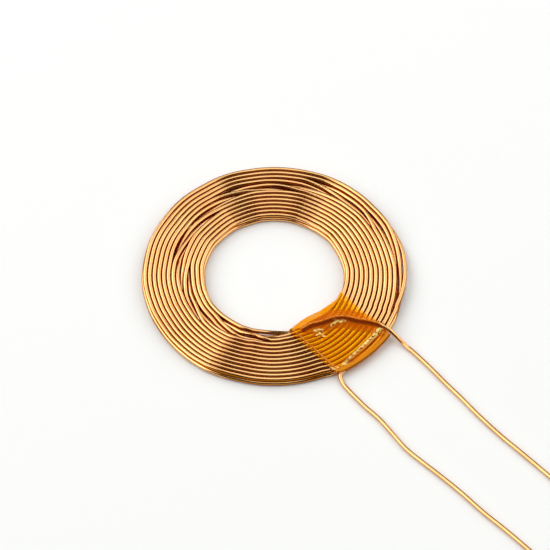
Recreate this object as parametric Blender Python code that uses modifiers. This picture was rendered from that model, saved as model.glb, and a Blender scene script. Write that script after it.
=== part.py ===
"""Wireless charging coil: a flat two-layer coil of enamelled copper wire, held by a strip of film.

Units are metres, +Z is up, and the coil lies on its strip of film at Z = 0, centred on the origin.
Angles are in degrees, measured clockwise from +X as seen from above, the way the wire runs from
its inner end to its outer end. Each column holds an upper and a lower turn. The two turns of a
column trade places once a round, column after column, so that the wire can pass on from one
column to the next in the upper layer, beneath the film.
"""
from math import asin
from math import cos
from math import degrees
from math import radians
from math import sin
from math import sqrt

import bmesh
import bpy
import numpy as np
from mathutils import Vector

# Wire and winding
WIRE_D = 0.67e-3            # copper with its enamel
COLUMNS = 12                # side by side; each holds an upper and a lower turn
WINDING_INNER_R = 10.45e-3  # inner edge of the lower layer
TURN_GAP = 0.095e-3         # between neighbouring turns of the upper layer
LAYER_GAP = 0.05e-3         # between the two layers
LOWER_SPREAD = 0.20e-3      # how far the lower layer stands out past the upper one, at each edge
TOUCH_GAP = 0.035e-3        # least clearance where turns squeeze past each other
SWAP_STRETCH = 0.04         # share by which the turns of a column stand further apart half-way
SWAP_PARTS = 4              # parts of a round in which two turns trade places

# Where the upper turns step out by one column, beneath the film
STEP_START = 20.0
STEP_END = 68.0
STEP_PARTS = 4

# Inner end, which crosses over the coil: angle, columns out from the first, share of its rise
INNER_END = (
    (31.7, 8.99, 1.0),
    (33.1, 7.44, 1.0),
    (35.5, 5.50, 1.0),
    (37.4, 3.75, 1.0),
    (41.0, 2.32, 1.0),
    (45.4, 1.52, 1.0),
    (51.0, 0.98, 1.0),
    (56.0, 0.60, 1.0),
    (60.0, 0.20, 0.82),
    (63.6, 0.03, 0.42),
)

# Outer end, which leaves beneath the film: angle, columns out from the last, share of its fall
OUTER_END = (
    (32.0, 0.20, 0.0),
    (44.0, 0.46, 0.02),
    (56.0, 0.80, 0.14),
)

# Outer end where it bends away: across the film, out from the last turn's radius, share of its fall
OUTER_BEND = (
    (3.91e-3, 0.43e-3, 0.30),
    (4.55e-3, 0.38e-3, 0.45),
)

# Film
FILM_WIDTH = 10.0e-3
FILM_T = 0.06e-3
FILM_GAP = 0.06e-3          # between the film and the wire, and between the film's layers
FILM_ANGLE = 47.3           # direction of the strip's middle line
FILM_FOLD_GAP = 0.15e-3     # least clearance between the fold in the coil's hole and the winding
FILM_FOLD_SLANT = 0.09      # the fold runs aslant: out by this share of the way across
FILM_FLAT_FROM = 1.0e-3     # beneath the coil, the film lies flat from this far past the fold
FILM_SAG = 0.11e-3          # depth of the grooves that the film makes between two turns
FILM_EDGE = 0.1e-3          # roundness of its bends over the inner turn and at the fold
FILM_SKEW = 0.65e-3         # the second wrap lies this much further round
FILM_PINCH = 1.45e-3        # the strip's edge draws back this much where the outer end leaves
FILM_FLARE = 0.35e-3        # the other edge of its outer side stands out by this much
FILM_PARTS_ACROSS = 8
WEB_SHARES = (0.35, 0.7, 0.92)  # rows of the web that spans from the inner turn down to the fold
TENT_FLAT = 0.95e-3         # half the width that the film spans over the crossing inner end
TENT_SIDE = 0.9e-3          # width of each slope beside it

# Free ends, lying on the table; the first points hold their height above the coil's edge
LEAD_POINT_GAP = 1.9e-3
LEAD_START_ROUTE = (
    (0.01565, -0.00951, 0.00189),
    (0.01635, -0.00990, 0.00189),
    (0.01704, -0.01038, 0.00176),
    (0.01784, -0.01093, 0.00132),
    (0.01866, -0.01158, 0.00084),
    (0.01970, -0.01257, 0.00048),
    (0.02091, -0.01373, 0.00035),
    (0.02322, -0.01634, 0.00035),
    (0.02563, -0.01929, 0.00035),
    (0.02815, -0.02224, 0.00035),
    (0.03058, -0.02521, 0.00035),
    (0.03379, -0.02880, 0.00035),
    (0.03708, -0.03211, 0.00035),
    (0.04148, -0.03661, 0.00035),
    (0.05100, -0.04645, 0.00035),
)
LEAD_FINISH_ROUTE = (
    (0.00987, -0.01800, 0.00062),
    (0.00996, -0.01854, 0.00044),
    (0.01022, -0.01922, 0.00035),
    (0.01074, -0.02008, 0.00035),
    (0.01185, -0.02149, 0.00035),
    (0.01370, -0.02369, 0.00035),
    (0.01569, -0.02579, 0.00035),
    (0.01769, -0.02849, 0.00035),
    (0.01967, -0.03120, 0.00035),
    (0.02198, -0.03349, 0.00035),
    (0.02457, -0.03590, 0.00035),
    (0.02786, -0.03913, 0.00035),
    (0.03113, -0.04266, 0.00035),
    (0.03443, -0.04587, 0.00035),
    (0.03842, -0.05000, 0.00035),
    (0.04800, -0.06020, 0.00035),
)

# Sizes that follow
WIRE_R = WIRE_D / 2
PITCH = WIRE_D + TURN_GAP
LAYER_STEP = WIRE_D + LAYER_GAP
LOW_Z = FILM_T + FILM_GAP + WIRE_R
HIGH_Z = LOW_Z + LAYER_STEP
MIDDLE_Z = (LOW_Z + HIGH_Z) / 2
OVER_Z = HIGH_Z + LAYER_STEP
LOW_R = WINDING_INNER_R + WIRE_R
HIGH_R = LOW_R + LOWER_SPREAD
HIGH_OUTER_R = HIGH_R + PITCH * (COLUMNS - 1)
LOW_PITCH = PITCH + 2 * LOWER_SPREAD / (COLUMNS - 1)
LOW_OUTER_R = LOW_R + LOW_PITCH * (COLUMNS - 1)
PARTS_PER_COLUMN = SWAP_PARTS // 2
ROUND_PARTS = PARTS_PER_COLUMN * (COLUMNS + 1)
ROUND_STEP = (360.0 - (STEP_END - STEP_START)) / ROUND_PARTS
FILM_LIFT = FILM_T + FILM_GAP
FILM_BEND_Z = 0.75 * LOW_Z
FILM_OUTER_R = LOW_OUTER_R + WIRE_R + FILM_GAP + FILM_T / 2
FOLD_CORNER_R = WINDING_INNER_R - FILM_FOLD_GAP
FILM_INNER = sqrt(FOLD_CORNER_R ** 2 - (FILM_WIDTH / 2) ** 2) + FILM_FOLD_SLANT * FILM_WIDTH / 4


def place(angle, radius, height):
    """Point at an angle clockwise from +X, a radius and a height."""
    return Vector((radius * cos(radians(angle)), -radius * sin(radians(angle)), height))


def film_place(across, along, height):
    """Point in the strip's own directions: across it, along it and up."""
    turn = radians(FILM_ANGLE)
    x = along * cos(turn) - across * sin(turn)
    y = -along * sin(turn) - across * cos(turn)
    return Vector((x, y, height))


def ease(share):
    """Smooth 0 to 1."""
    share = min(1.0, max(0.0, share))
    return share * share * (3 - 2 * share)


def step_radius(columns_out, part):
    """Radius of an upper turn that steps out by one column, at one of the step's parts."""
    return HIGH_R + PITCH * (columns_out + ease(part / STEP_PARTS))


def straight_radius(columns_out, angle):
    """The same at any angle, on the straight line between two of the wire's points."""
    step = (STEP_END - STEP_START) / STEP_PARTS
    part = min(STEP_PARTS, max(0, int((angle - STEP_START) // step)))
    near = step_radius(columns_out, part)
    far = step_radius(columns_out, part + 1)
    done = radians(angle - STEP_START - step * part)
    left = radians(step) - done
    return near * far * sin(radians(step)) / (near * sin(done) + far * sin(left))


def column_pair(column, part):
    """Radius and height of a column's first and second turn, measured from the column's middle."""
    lean = LOWER_SPREAD * (1 - 2 * column / (COLUMNS - 1))
    share = min(1.0, max(0.0, (part - PARTS_PER_COLUMN * column) / SWAP_PARTS))
    turned = radians(180.0 * share)
    if column % 2 == 0:
        turned = -turned
    half = 0.5 * (1 + SWAP_STRETCH * abs(sin(turned)))
    out = half * (lean * cos(turned) - LAYER_STEP * sin(turned))
    up = half * (lean * sin(turned) + LAYER_STEP * cos(turned))
    return (out, up), (-out, -up)


def least_spacing(inner, outer):
    """How far apart two neighbouring columns' middles must stand for their turns to clear."""
    reach = WIRE_D + TOUCH_GAP
    spacing = 0.0
    for near in inner:
        for far in outer:
            rise = near[1] - far[1]
            if abs(rise) < reach:
                spacing = max(spacing, near[0] - far[0] + sqrt(reach ** 2 - rise ** 2))
    return spacing


def column_middles(pairs):
    """Radius of each column's middle: what is spare is shared out, what is short goes both ways."""
    spacings = [least_spacing(pairs[n], pairs[n + 1]) for n in range(COLUMNS - 1)]
    spare = PITCH * (COLUMNS - 1) - sum(spacings)
    radius = (LOW_R + HIGH_R) / 2 + min(0.0, spare) / 2
    share = max(0.0, spare) / (COLUMNS - 1)
    middles = [radius]
    for spacing in spacings:
        radius += spacing + share
        middles.append(radius)
    return middles


def turn_points():
    """Points of all the turns, from the start of the first to the end of the last."""
    sections = []
    for part in range(ROUND_PARTS + 1):
        pairs = [column_pair(column, part) for column in range(COLUMNS)]
        sections.append((pairs, column_middles(pairs)))
    points = []
    for turn in range(2 * COLUMNS):
        column, second = divmod(turn, 2)
        for part, (pairs, middles) in enumerate(sections):
            out, up = pairs[column][second]
            angle = STEP_END + ROUND_STEP * part
            points.append(place(angle, middles[column] + out, MIDDLE_Z + up))
        if turn == 2 * COLUMNS - 1:
            break
        for part in range(1, STEP_PARTS):
            angle = STEP_START + (STEP_END - STEP_START) * part / STEP_PARTS
            if second:
                points.append(place(angle, step_radius(column, part), HIGH_Z))
            else:
                points.append(place(angle, LOW_R + LOW_PITCH * column, LOW_Z))
    return points


def inner_end_points():
    """The inner end, from the film's edge over the coil and down to its first turn."""
    points = []
    for angle, columns_out, risen in INNER_END:
        height = HIGH_Z + (OVER_Z - HIGH_Z) * risen
        points.append(place(angle, HIGH_R + PITCH * columns_out, height))
    return points


def outer_end_points():
    """The outer end, from the last turn to the film's edge, where it bends away."""
    points = []
    for angle, columns_out, fallen in OUTER_END:
        height = HIGH_Z - (HIGH_Z - WIRE_R) * fallen
        points.append(place(angle, HIGH_OUTER_R + PITCH * columns_out, height))
    for across, out, fallen in OUTER_BEND:
        height = HIGH_Z - (HIGH_Z - WIRE_R) * fallen
        points.append(film_place(across, HIGH_OUTER_R + out, height))
    return points


def smooth_route(route, spacing):
    """Points at an even spacing on a smooth curve through a route's points."""
    knots = [Vector(point) for point in route]
    knots = [2 * knots[0] - knots[1]] + knots + [2 * knots[-1] - knots[-2]]
    fine = []
    for before, start, end, after in zip(knots, knots[1:], knots[2:], knots[3:]):
        for part in range(20):
            t = part / 20
            point = 2 * start + (end - before) * t
            point += (2 * before - 5 * start + 4 * end - after) * t ** 2
            point += (3 * start - before - 3 * end + after) * t ** 3
            fine.append(point / 2)
    fine.append(knots[-2])
    steps = [(b - a).length for a, b in zip(fine, fine[1:])]
    along = np.concatenate(([0.0], np.cumsum(steps)))
    count = max(2, round(along[-1] / spacing))
    even = np.linspace(0.0, along[-1], count + 1)
    columns = [np.interp(even, along, [point[axis] for point in fine]) for axis in range(3)]
    return [Vector(point) for point in zip(*columns)]


def material(name, colour, metallic, roughness):
    """A material with one colour."""
    made = bpy.data.materials.new(name)
    made.use_nodes = True
    shader = made.node_tree.nodes["Principled BSDF"]
    shader.inputs["Base Color"].default_value = (*colour, 1.0)
    shader.inputs["Metallic"].default_value = metallic
    shader.inputs["Roughness"].default_value = roughness
    made.diffuse_color = (*colour, 1.0)
    return made


def wire(name, points, surface, collection):
    """A length of the wire along points."""
    curve = bpy.data.curves.new(name, "CURVE")
    curve.dimensions = "3D"
    curve.twist_mode = "Z_UP"
    curve.bevel_depth = WIRE_R
    curve.bevel_resolution = 2
    curve.use_fill_caps = True
    spline = curve.splines.new("POLY")
    spline.points.add(len(points) - 1)
    for knot, point in zip(spline.points, points):
        knot.co = (*point, 1.0)
    curve.materials.append(surface)
    made = bpy.data.objects.new(name, curve)
    collection.objects.link(made)
    return made


def tent_height(point, line):
    """Height of the film's lower face above a point where it spans the crossing inner end."""
    best = 0.0
    for start, end in zip(line, line[1:]):
        run = (end - start).to_2d()
        share = (point - start).to_2d().dot(run) / run.length_squared
        share = min(1.0, max(0.0, share))
        nearest = start.lerp(end, share)
        aside = (point - nearest).to_2d().length
        fall = max(0.0, aside - TENT_FLAT) / TENT_SIDE
        best = max(best, nearest.z + WIRE_R + FILM_GAP - fall * LAYER_STEP)
    return best


def rib_radius(across, columns_out):
    """Radius of a stepping turn where it passes a place across the strip."""
    radius = HIGH_R + PITCH * columns_out
    for _ in range(5):
        radius = straight_radius(columns_out, FILM_ANGLE + degrees(asin(across / radius)))
    return radius


def along_at(across, radius):
    """Distance along the strip at which a place across it has a radius."""
    return sqrt(radius ** 2 - across ** 2)


def fold_along(across):
    """Distance along the strip of the fold in the hole: aslant, and clear of the winding."""
    return min(FILM_INNER - FILM_FOLD_SLANT * across, along_at(across, FOLD_CORNER_R))


def film_top_rows(marks, line):
    """Rows of the film's first layer on top: over the turns, then down to the fold in the hole."""
    crest = HIGH_Z + WIRE_R + FILM_GAP
    fold = FILM_BEND_Z
    places = []
    for half_column in range(2 * (COLUMNS - 1), -1, -1):
        columns_out = half_column / 2
        height = crest - FILM_SAG * (half_column % 2)
        radii = [rib_radius(across, columns_out) for across in marks]
        places.append([(mark, along_at(mark, radius), height) for mark, radius in zip(marks, radii)])
    for share in (0.5, 1.0):
        row = []
        for mark in marks:
            first_rib = rib_radius(mark, 0)
            radius = first_rib + (HIGH_R - FILM_EDGE - first_rib) * share
            groove = FILM_SAG * (first_rib - HIGH_R) / PITCH * 2 * (1 - share)
            row.append((mark, along_at(mark, radius), crest - groove))
        places.append(row)
    for share in WEB_SHARES:
        row = []
        for mark in marks:
            edge = along_at(mark, HIGH_R - FILM_EDGE)
            along = edge + (fold_along(mark) - edge) * share
            row.append((mark, along, fold + (crest - fold) * sqrt(1 - share ** 2)))
        places.append(row)
    rows = []
    for row in places:
        points = [film_place(*spot) for spot in row]
        for point in points:
            point.z = max(point.z, tent_height(point, line)) + FILM_T / 2
        rows.append(points)
    return rows


def film_under_rows(marks):
    """Rows from the fold in the hole, flat beneath the coil."""
    rows = [[film_place(mark, fold_along(mark), FILM_BEND_Z) for mark in marks]]
    rows.append([film_place(mark, fold_along(mark) + FILM_EDGE, FILM_T / 2) for mark in marks])
    for share in (0.0, 1 / 3, 2 / 3, 1.0):
        row = []
        for mark in marks:
            start = fold_along(mark) + FILM_FLAT_FROM
            end = along_at(mark, FILM_OUTER_R)
            row.append(film_place(mark, start + (end - start) * share, FILM_T / 2))
        rows.append(row)
    return rows


def film_wall_rows(first, second):
    """Rows up the outer side, shifting over to the second wrap.

    One edge draws back where the coil's outer end leaves, and the other stands out.
    """
    shoulder = HIGH_Z + WIRE_R + FILM_GAP + FILM_T / 2 + FILM_LIFT
    # Each row's bulge and height, and its shares of the pinch, the flare and the skew
    wall = (
        (0.04e-3, 0.5 * LOW_Z, 0.55, 0.4, 0.0),
        (0.30e-3, 1.1 * LOW_Z, 1.0, 1.0, 0.1),
        (0.56e-3, HIGH_Z - WIRE_R, 1.0, 1.0, 0.25),
        (0.68e-3, HIGH_Z, 1.0, 0.8, 0.45),
        (0.56e-3, HIGH_Z + WIRE_R, 0.8, 0.4, 0.75),
        (0.25e-3, shoulder, 0.4, 0.0, 1.0),
    )
    rows = []
    for out, height, pinched, flared, shifted in wall:
        start = first[0] + (second[0] - first[0]) * shifted - FILM_FLARE * flared
        end = first[-1] + (second[-1] - first[-1]) * shifted - FILM_PINCH * pinched
        row = []
        for mark in first:
            across = start + (end - start) * (mark - first[0]) / (first[-1] - first[0])
            row.append(film_place(across, along_at(across, FILM_OUTER_R + out), height))
        rows.append(row)
    return rows


def film_rows(line):
    """Rows of points across the strip, from its first end to its last, wrapped round the coil."""
    half = FILM_WIDTH / 2
    between = np.linspace(FILM_SKEW - half, half, FILM_PARTS_ACROSS)
    marks = [-half] + [float(mark) for mark in between] + [half + FILM_SKEW]
    first = marks[:-1]
    second = marks[1:]
    rows = film_top_rows(first, line)
    rows += film_under_rows(first)
    rows += film_wall_rows(first, second)
    lift = Vector((0.0, 0.0, FILM_LIFT))
    over_turns = film_top_rows(second, line)[:-len(WEB_SHARES)]
    rows += [[point + lift for point in row] for row in over_turns]
    return rows


def film(name, line, surface, collection):
    """The strip of film: a sheet laid along its rows and given its thickness."""
    rows = film_rows(line)
    mesh = bpy.data.meshes.new(name)
    sheet = bmesh.new()
    laid = [[sheet.verts.new(point) for point in row] for row in rows]
    for row, following in zip(laid, laid[1:]):
        for corner in range(len(row) - 1):
            sheet.faces.new((row[corner], row[corner + 1], following[corner + 1], following[corner]))
    bmesh.ops.recalc_face_normals(sheet, faces=sheet.faces)
    sheet.to_mesh(mesh)
    sheet.free()
    mesh.materials.append(surface)
    made = bpy.data.objects.new(name, mesh)
    collection.objects.link(made)
    thicken = made.modifiers.new("thickness", "SOLIDIFY")
    thicken.thickness = FILM_T
    thicken.offset = 0.0
    return made


def main():
    """Build the coil."""
    for old in list(bpy.data.objects):
        bpy.data.objects.remove(old, do_unlink=True)
    collection = bpy.data.collections.new("wireless_charging_coil")
    bpy.context.scene.collection.children.link(collection)

    enamel = material("copper_enamel", (0.80, 0.36, 0.10), 0.9, 0.3)
    amber = material("amber_film", (0.85, 0.42, 0.03), 0.0, 0.25)

    inner_end = inner_end_points()
    turns = turn_points()
    wire("winding", inner_end + turns + outer_end_points(), enamel, collection)
    lead_start = smooth_route(LEAD_START_ROUTE, LEAD_POINT_GAP)
    wire("lead_start", lead_start, enamel, collection)
    lead_finish = smooth_route(LEAD_FINISH_ROUTE, LEAD_POINT_GAP)
    wire("lead_finish", lead_finish, enamel, collection)
    crossing = lead_start[1::-1] + inner_end + turns[:1]
    film("film_strip", crossing, amber, collection)


main()
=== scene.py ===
# %% [markdown]
# # A wireless charging coil in Blender
#
# The object is the flat coil of a wireless charger: one long piece of enamelled copper wire, wound
# in two layers of twelve turns, with a strip of amber film wrapped round it where both ends of the
# wire leave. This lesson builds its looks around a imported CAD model, the frame, so that every
# piece lies exactly where the real one does. All sizes are in metres.

# %% Load the frame
from math import atan
from math import cos
from math import degrees
from math import pi
from math import radians
from math import sin
from math import sqrt

import bpy
import bmesh
import numpy as np
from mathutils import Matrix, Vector
from mathutils import noise


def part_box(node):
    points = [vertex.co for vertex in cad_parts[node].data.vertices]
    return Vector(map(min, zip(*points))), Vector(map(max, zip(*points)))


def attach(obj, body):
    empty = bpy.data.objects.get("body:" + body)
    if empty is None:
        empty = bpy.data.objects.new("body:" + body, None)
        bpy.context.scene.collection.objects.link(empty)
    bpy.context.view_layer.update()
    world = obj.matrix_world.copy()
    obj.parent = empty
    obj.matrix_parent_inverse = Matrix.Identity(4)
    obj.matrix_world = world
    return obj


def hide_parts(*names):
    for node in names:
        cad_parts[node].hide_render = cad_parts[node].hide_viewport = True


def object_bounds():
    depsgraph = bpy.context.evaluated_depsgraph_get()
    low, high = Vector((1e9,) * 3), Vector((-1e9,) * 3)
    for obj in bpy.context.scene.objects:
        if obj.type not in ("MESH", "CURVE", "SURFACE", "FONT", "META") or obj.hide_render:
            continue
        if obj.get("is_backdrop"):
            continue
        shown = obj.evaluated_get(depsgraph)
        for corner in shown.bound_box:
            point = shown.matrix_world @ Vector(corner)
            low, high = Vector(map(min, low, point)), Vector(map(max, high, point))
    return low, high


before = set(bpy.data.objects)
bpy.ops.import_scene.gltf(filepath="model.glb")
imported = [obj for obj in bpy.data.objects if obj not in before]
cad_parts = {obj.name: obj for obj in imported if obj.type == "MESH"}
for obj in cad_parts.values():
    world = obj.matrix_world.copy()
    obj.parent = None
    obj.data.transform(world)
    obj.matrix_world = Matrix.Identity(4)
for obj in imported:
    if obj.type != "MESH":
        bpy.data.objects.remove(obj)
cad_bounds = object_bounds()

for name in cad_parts:
    low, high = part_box(name)
    size = [round((b - a) * 1000, 2) for a, b in zip(low, high)]
    print(name, "measures", size, "mm")

# %% [markdown]
# ## The sizes of the coil
#
# A coil follows a rule, so a handful of sizes describe it. The wire's diameter and the space between
# two turns give the pitch. The lower layer is spread a little wider than the upper one, which is
# why its first and last turns peep out at both edges.

# %% Sizes
WIRE_D = 0.67e-3
COLUMNS = 12
WINDING_INNER_R = 10.45e-3
TURN_GAP = 0.095e-3
LAYER_GAP = 0.05e-3
LOWER_SPREAD = 0.20e-3
TOUCH_GAP = 0.035e-3
SWAP_STRETCH = 0.04
SWAP_PARTS = 4
STEP_START = 20.0
STEP_END = 68.0
FILM_T = 0.06e-3
FILM_GAP = 0.06e-3

WIRE_R = WIRE_D / 2
PITCH = WIRE_D + TURN_GAP
LAYER_STEP = WIRE_D + LAYER_GAP
LOW_Z = FILM_T + FILM_GAP + WIRE_R
HIGH_Z = LOW_Z + LAYER_STEP
MIDDLE_Z = (LOW_Z + HIGH_Z) / 2
OVER_Z = HIGH_Z + LAYER_STEP
LOW_R = WINDING_INNER_R + WIRE_R
HIGH_R = LOW_R + LOWER_SPREAD
HIGH_OUTER_R = HIGH_R + PITCH * (COLUMNS - 1)
LOW_PITCH = PITCH + 2 * LOWER_SPREAD / (COLUMNS - 1)
LOW_OUTER_R = LOW_R + LOW_PITCH * (COLUMNS - 1)
print("pitch", round(PITCH * 1000, 3), "mm, coil", round((LOW_OUTER_R + WIRE_R) * 2000, 1), "mm across")

# %% [markdown]
# ## The camera
#
# The photograph was taken from far away with a long lens: the far and the near side of the coil
# look the same size. Its hole is about 0.82 times as high as it is wide, so the camera looks down
# at 55 degrees. A camera over three metres away with a narrow view gives the same picture.
# It aims a little beside the coil's centre, because the coil doesn't sit in the picture's middle.

# %% Camera
PHOTO_PIXELS = 550
PIXEL_SIZE = 0.15e-3
CENTRE_PIXEL = (274.1, 278.7)
CAMERA_ELEVATION = 55.0
CAMERA_DISTANCE = 3.4

tilt = radians(CAMERA_ELEVATION)
picture_right = Vector((1.0, 0.0, 0.0))
picture_up = Vector((0.0, sin(tilt), cos(tilt)))
towards_camera = Vector((0.0, -cos(tilt), sin(tilt)))
aim = picture_right * (PHOTO_PIXELS / 2 - CENTRE_PIXEL[0]) * PIXEL_SIZE
aim = aim + picture_up * (CENTRE_PIXEL[1] - PHOTO_PIXELS / 2) * PIXEL_SIZE

camera_data = bpy.data.cameras.new("camera")
camera = bpy.data.objects.new("camera", camera_data)
bpy.context.scene.collection.objects.link(camera)
camera.location = aim + towards_camera * CAMERA_DISTANCE
camera.rotation_euler = (radians(90.0 - CAMERA_ELEVATION), 0.0, 0.0)
camera_data.sensor_width = 36.0
camera_data.angle = 2 * atan(PHOTO_PIXELS * PIXEL_SIZE / 2 / CAMERA_DISTANCE)
camera_data.clip_start = 0.01
camera_data.clip_end = 100.0
bpy.context.scene.camera = camera
print("field of view", round(degrees(camera_data.angle), 2), "degrees")

# %% [markdown]
# ## Helpers for placing things
#
# The wire is easiest to describe by an angle round the coil, a radius and a height. Angles run
# clockwise from +X as seen from above, the way that the wire itself runs. The film has directions
# of its own: across the strip and along it.

# %% Placing helpers
FILM_ANGLE = 47.3


def place(angle, radius, height):
    """Point at an angle clockwise from +X, a radius and a height."""
    return Vector((radius * cos(radians(angle)), -radius * sin(radians(angle)), height))


def film_place(across, along, height):
    """Point in the film's own directions."""
    turn = radians(FILM_ANGLE)
    x = along * cos(turn) - across * sin(turn)
    y = -along * sin(turn) - across * cos(turn)
    return Vector((x, y, height))


def ease(share):
    """Smooth 0 to 1."""
    share = min(1.0, max(0.0, share))
    return share * share * (3 - 2 * share)


print("film lies towards", [round(v * 1000, 1) for v in film_place(0.0, 15e-3, 0.0)], "mm")

# %% [markdown]
# ## A smooth line through chosen points
#
# The two free ends of the wire don't follow a rule: a hand has bent them. A spline that passes
# through all of its points makes such a line smooth. It is worked out here in code, because the
# same function also spaces its points evenly, which gives the wire even faces.

# %% Smooth line
FINE_PARTS = 20


def smooth_line(route, spacing):
    """Points at an even spacing on a smooth curve through a route's points."""
    knots = [Vector(point) for point in route]
    knots = [2 * knots[0] - knots[1]] + knots + [2 * knots[-1] - knots[-2]]
    fine = []
    for before, start, end, after in zip(knots, knots[1:], knots[2:], knots[3:]):
        for part in range(FINE_PARTS):
            t = part / FINE_PARTS
            point = 2 * start + (end - before) * t
            point += (2 * before - 5 * start + 4 * end - after) * t ** 2
            point += (3 * start - before - 3 * end + after) * t ** 3
            fine.append(point / 2)
    fine.append(knots[-2])
    steps = [(b - a).length for a, b in zip(fine, fine[1:])]
    along = np.concatenate(([0.0], np.cumsum(steps)))
    count = max(2, round(along[-1] / spacing))
    even = np.linspace(0.0, along[-1], count + 1)
    columns = [np.interp(even, along, [point[axis] for point in fine]) for axis in range(3)]
    return [Vector(point) for point in zip(*columns)]


def line_length(points):
    """Length of a line of points."""
    return sum((b - a).length for a, b in zip(points, points[1:]))


trial = smooth_line([(0.0, 0.0, 0.0), (1e-3, 0.0, 0.0), (2e-3, 0.0, 0.0)], 0.5e-3)
print("trial line of 2 mm:", len(trial), "points,", round(line_length(trial) * 1000, 2), "mm")

# %% [markdown]
# ## The routes of the free ends
#
# The points were read off the photograph, on the table's surface, and turned into metres. Each end
# comes down from the coil, lies on the table, leaves the picture and ends bare a little further on.
# The CAD model's two ends follow the same points.

# %% Routes of the free ends
LEAD_START_ROUTE = (
    (0.01565, -0.00951, 0.00189),
    (0.01635, -0.00990, 0.00189),
    (0.01704, -0.01038, 0.00176),
    (0.01784, -0.01093, 0.00132),
    (0.01866, -0.01158, 0.00084),
    (0.01970, -0.01257, 0.00048),
    (0.02091, -0.01373, 0.00035),
    (0.02322, -0.01634, 0.00035),
    (0.02563, -0.01929, 0.00035),
    (0.02815, -0.02224, 0.00035),
    (0.03058, -0.02521, 0.00035),
    (0.03379, -0.02880, 0.00035),
    (0.03708, -0.03211, 0.00035),
    (0.04148, -0.03661, 0.00035),
    (0.05100, -0.04645, 0.00035),
)
LEAD_FINISH_ROUTE = (
    (0.00987, -0.01800, 0.00062),
    (0.00996, -0.01854, 0.00044),
    (0.01022, -0.01922, 0.00035),
    (0.01074, -0.02008, 0.00035),
    (0.01185, -0.02149, 0.00035),
    (0.01370, -0.02369, 0.00035),
    (0.01569, -0.02579, 0.00035),
    (0.01769, -0.02849, 0.00035),
    (0.01967, -0.03120, 0.00035),
    (0.02198, -0.03349, 0.00035),
    (0.02457, -0.03590, 0.00035),
    (0.02786, -0.03913, 0.00035),
    (0.03113, -0.04266, 0.00035),
    (0.03443, -0.04587, 0.00035),
    (0.03842, -0.05000, 0.00035),
    (0.04800, -0.06020, 0.00035),
)
LEAD_SPACING = 0.4e-3
lead_start_line = smooth_line(LEAD_START_ROUTE, LEAD_SPACING)
lead_finish_line = smooth_line(LEAD_FINISH_ROUTE, LEAD_SPACING)
print("inner free end", round(line_length(lead_start_line) * 1000, 1), "mm")
print("outer free end", round(line_length(lead_finish_line) * 1000, 1), "mm")

# %% [markdown]
# ## Helpers for node trees
#
# Materials and Geometry Nodes are both graphs, in which numbers and colours flow along links from
# node to node. Most steps of such a graph are of a few kinds, so a small function for each keeps
# the trees short and easy to read. Each takes plain values or other nodes' outputs alike.

# %% Node helpers
def feed(tree, socket, given):
    """Link another node's output to a socket, or set the socket to a plain value."""
    if isinstance(given, bpy.types.NodeSocket):
        tree.links.new(given, socket)
    else:
        socket.default_value = given


def reckon(tree, operation, first, second):
    """A sum on two values, such as their product or the greater of them."""
    node = tree.nodes.new("ShaderNodeMath")
    node.operation = operation
    feed(tree, node.inputs[0], first)
    feed(tree, node.inputs[1], second)
    return node.outputs["Value"]


def stretch(tree, value, start, end, low=0.0, high=1.0, way="LINEAR"):
    """A value that runs from start to end, made to run from low to high."""
    node = tree.nodes.new("ShaderNodeMapRange")
    node.interpolation_type = way
    feed(tree, node.inputs["Value"], value)
    feed(tree, node.inputs["From Min"], start)
    feed(tree, node.inputs["From Max"], end)
    feed(tree, node.inputs["To Min"], low)
    feed(tree, node.inputs["To Max"], high)
    return node.outputs["Result"]


def vector_sum(tree, operation, first, second):
    """A sum on two vectors."""
    node = tree.nodes.new("ShaderNodeVectorMath")
    node.operation = operation
    feed(tree, node.inputs[0], first)
    feed(tree, node.inputs[1], second)
    return node.outputs["Vector"]


# %% Material helpers
def new_material(name):
    """A new material, its node tree and its Principled shader."""
    made = bpy.data.materials.new(name)
    made.use_nodes = True
    tree = made.node_tree
    return made, tree, tree.nodes["Principled BSDF"]


def grain(tree, scale, detail):
    """A noise that is fixed to the piece, from 0 to 1."""
    coordinates = tree.nodes.new("ShaderNodeTexCoord")
    node = tree.nodes.new("ShaderNodeTexNoise")
    node.inputs["Scale"].default_value = scale
    node.inputs["Detail"].default_value = detail
    feed(tree, node.inputs["Vector"], coordinates.outputs["Object"])
    return node.outputs["Fac"]


def mark_on(tree, name):
    """What the mesh's attribute of this name says at each point."""
    node = tree.nodes.new("ShaderNodeAttribute")
    node.attribute_name = name
    return node.outputs["Fac"]


def blend_colours(tree, share, first, second):
    """The first colour where the share is 0, and the second where it is 1."""
    node = tree.nodes.new("ShaderNodeMix")
    node.data_type = "RGBA"
    feed(tree, node.inputs["Factor"], share)
    feed(tree, node.inputs["A"], first)
    feed(tree, node.inputs["B"], second)
    return node.outputs["Result"]


# %% [markdown]
# ## The copper
#
# The wire is copper under a thin clear enamel. Copper is a metal, so it has no colour of its own
# but tints what it mirrors. The enamel is a clear coat that mirrors white light on top of that.
# Slow patches of a darker tone keep it from looking like a polished toy. Between two turns, where
# shade falls, the copper gets painted brown shade and loses the coat's shine. The mesh of the wire
# carries a mark there, which the next step makes.

# %% Copper material
COPPER_BRIGHT = (0.95, 0.53, 0.15, 1.0)
COPPER_DEEP = (0.90, 0.38, 0.08, 1.0)
COPPER_GROOVE_SHADE = (0.38, 0.11, 0.002, 1.0)
COPPER_EDGE = (0.55, 0.22, 0.04, 1.0)
PATCH_SCALE = 190.0
COAT_ENDS_AT = 0.5

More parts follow.
